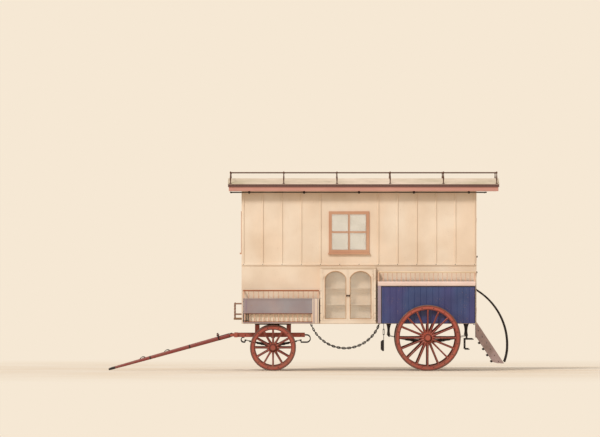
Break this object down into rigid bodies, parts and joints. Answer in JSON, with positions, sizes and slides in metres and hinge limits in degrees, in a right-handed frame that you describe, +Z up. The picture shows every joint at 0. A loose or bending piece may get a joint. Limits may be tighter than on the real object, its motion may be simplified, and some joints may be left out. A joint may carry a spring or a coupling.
{
  "type": "vardo wagon",
  "caption": "Horse-drawn living and trading van with outside racks, glazed cabinets, blue lockers, railed roof, turning fore-carriage, shafts and rear steps.",
  "frame": {"origin": "on the ground at the middle of the wagon's box, shafts down", "axes": "+X towards the back of the van, -X towards the shafts, -Y the near side, +Z up"},
  "size_m": [7.2264, 2.117, 3.5949],
  "materials": {
    "cream_boards": "painted, satin",
    "roof_paint": "canvas-covered board, dark paint",
    "fascia_paint": "painted, satin",
    "black_iron": "black japanned",
    "window_glass": "clear sheet",
    "window_paint": "painted, satin",
    "mauve_panel": "painted, satin",
    "gallery_paint": "turned and painted",
    "cabinet_paint": "painted, satin",
    "locker_blue": "painted boards",
    "floor_wood": "bare boards and sawn timber",
    "gear_red": "painted, lined",
    "spring_steel": "black leaves",
    "tyre_iron": "worn iron",
    "shaft_red": "painted",
    "step_paint": "painted, worn",
    "door_paint": "painted, satin"
  },
  "bodies": {
    "van": {"floor_frame": "floor_wood", "side_wall_near": "cream_boards", "side_wall_far": "cream_boards", "front_wall": "cream_boards", "rear_wall": "cream_boards", "roof": "roof_paint", "roof_fascia": "fascia_paint", "roof_rail": "black_iron", "hanging_rails": "black_iron", "window_frames": "window_paint", "window_glass": "window_glass", "front_case_near": "mauve_panel", "front_case_far": "mauve_panel", "front_galleries": "gallery_paint", "cabinet_near": "cabinet_paint", "cabinet_far": "cabinet_paint", "locker_near": "locker_blue", "locker_far": "locker_blue", "locker_rims": "gallery_paint", "locker_galleries": "gallery_paint", "porch_board": "floor_wood", "porch_rails": "black_iron", "upper_turntable": "black_iron", "rear_axle": "gear_red", "rear_springs": "spring_steel", "rear_spring_irons": "black_iron", "steps": "step_paint", "handrails": "black_iron", "belly_chains": "black_iron", "drag_shoe": "black_iron"},
    "fore_carriage": {"fore_bed": "gear_red", "lower_turntable": "black_iron", "front_axle": "gear_red", "front_springs": "spring_steel", "front_spring_irons": "black_iron"},
    "shafts": {"shaft_near": "shaft_red", "shaft_far": "shaft_red", "shaft_bar": "shaft_red"},
    "swingletree": {"swingletree": "shaft_red"},
    "lower_door": {"lower_door": "door_paint"},
    "shutter_near": {"shutter_near": "door_paint", "shutter_glass_near": "window_glass"},
    "wheel_front_near": {"wheel_front_near": "gear_red", "tyre_front_near": "tyre_iron"},
    "cabinet_door_front_near": {"cabinet_door_front_near": "cabinet_paint", "cabinet_glass_front_near": "window_glass"},
    "wheel_rear_near": {"wheel_rear_near": "gear_red", "tyre_rear_near": "tyre_iron"},
    "cabinet_door_rear_near": {"cabinet_door_rear_near": "cabinet_paint", "cabinet_glass_rear_near": "window_glass"},
    "shutter_far": {"shutter_far": "door_paint", "shutter_glass_far": "window_glass"},
    "wheel_front_far": {"wheel_front_far": "gear_red", "tyre_front_far": "tyre_iron"},
    "cabinet_door_front_far": {"cabinet_door_front_far": "cabinet_paint", "cabinet_glass_front_far": "window_glass"},
    "wheel_rear_far": {"wheel_rear_far": "gear_red", "tyre_rear_far": "tyre_iron"},
    "cabinet_door_rear_far": {"cabinet_door_rear_far": "cabinet_paint", "cabinet_glass_rear_far": "window_glass"}
  },
  "joints": [
    {"name": "steering", "type": "hinge", "parent": "van", "child": "fore_carriage", "pos_m": [-0.63868, 0, 0.72], "axis": [0, 0, 1], "range_deg": [-90, 90]},
    {"name": "shaft_lift", "type": "hinge", "parent": "fore_carriage", "child": "shafts", "pos_m": [-1.39369, 0, 0.64], "axis": [0, 1, 0], "range_deg": [0, 25]},
    {"name": "swingletree_swivel", "type": "hinge", "parent": "shafts", "child": "swingletree", "pos_m": [-1.63724, 0, 0.63809], "axis": [-0.2703, 0, 0.9628], "range_deg": [-20, 20]},
    {"name": "front_near_wheel_spin", "type": "hinge", "parent": "fore_carriage", "child": "wheel_front_near", "pos_m": [-0.63868, -0.78, 0.414], "axis": [0, 1, 0], "continuous": true},
    {"name": "rear_near_wheel_spin", "type": "hinge", "parent": "van", "child": "wheel_rear_near", "pos_m": [2.15131, -0.95, 0.594], "axis": [0, 1, 0], "continuous": true},
    {"name": "cabinet_front_near_door", "type": "hinge", "parent": "van", "child": "cabinet_door_front_near", "pos_m": [0.26332, -0.88, 1.36], "axis": [0, 0, -1], "range_deg": [0, 105]},
    {"name": "cabinet_rear_near_door", "type": "hinge", "parent": "van", "child": "cabinet_door_rear_near", "pos_m": [1.16332, -0.88, 1.36], "axis": [0, 0, 1], "range_deg": [0, 105]},
    {"name": "shutter_near_swing", "type": "hinge", "parent": "van", "child": "shutter_near", "pos_m": [3.03331, -0.31, 2.37], "axis": [0, 0, -1], "range_deg": [0, 170]},
    {"name": "front_far_wheel_spin", "type": "hinge", "parent": "fore_carriage", "child": "wheel_front_far", "pos_m": [-0.63868, 0.78, 0.414], "axis": [0, 1, 0], "continuous": true},
    {"name": "rear_far_wheel_spin", "type": "hinge", "parent": "van", "child": "wheel_rear_far", "pos_m": [2.15131, 0.95, 0.594], "axis": [0, 1, 0], "continuous": true},
    {"name": "cabinet_front_far_door", "type": "hinge", "parent": "van", "child": "cabinet_door_front_far", "pos_m": [0.26332, 0.88, 1.36], "axis": [0, 0, 1], "range_deg": [0, 105]},
    {"name": "cabinet_rear_far_door", "type": "hinge", "parent": "van", "child": "cabinet_door_rear_far", "pos_m": [1.16332, 0.88, 1.36], "axis": [0, 0, -1], "range_deg": [0, 105]},
    {"name": "shutter_far_swing", "type": "hinge", "parent": "van", "child": "shutter_far", "pos_m": [3.03331, 0.31, 2.37], "axis": [0, 0, 1], "range_deg": [0, 170]},
    {"name": "lower_door_swing", "type": "hinge", "parent": "van", "child": "lower_door", "pos_m": [3.03331, -0.31, 1.43], "axis": [0, 0, -1], "range_deg": [0, 90]}
  ]
}
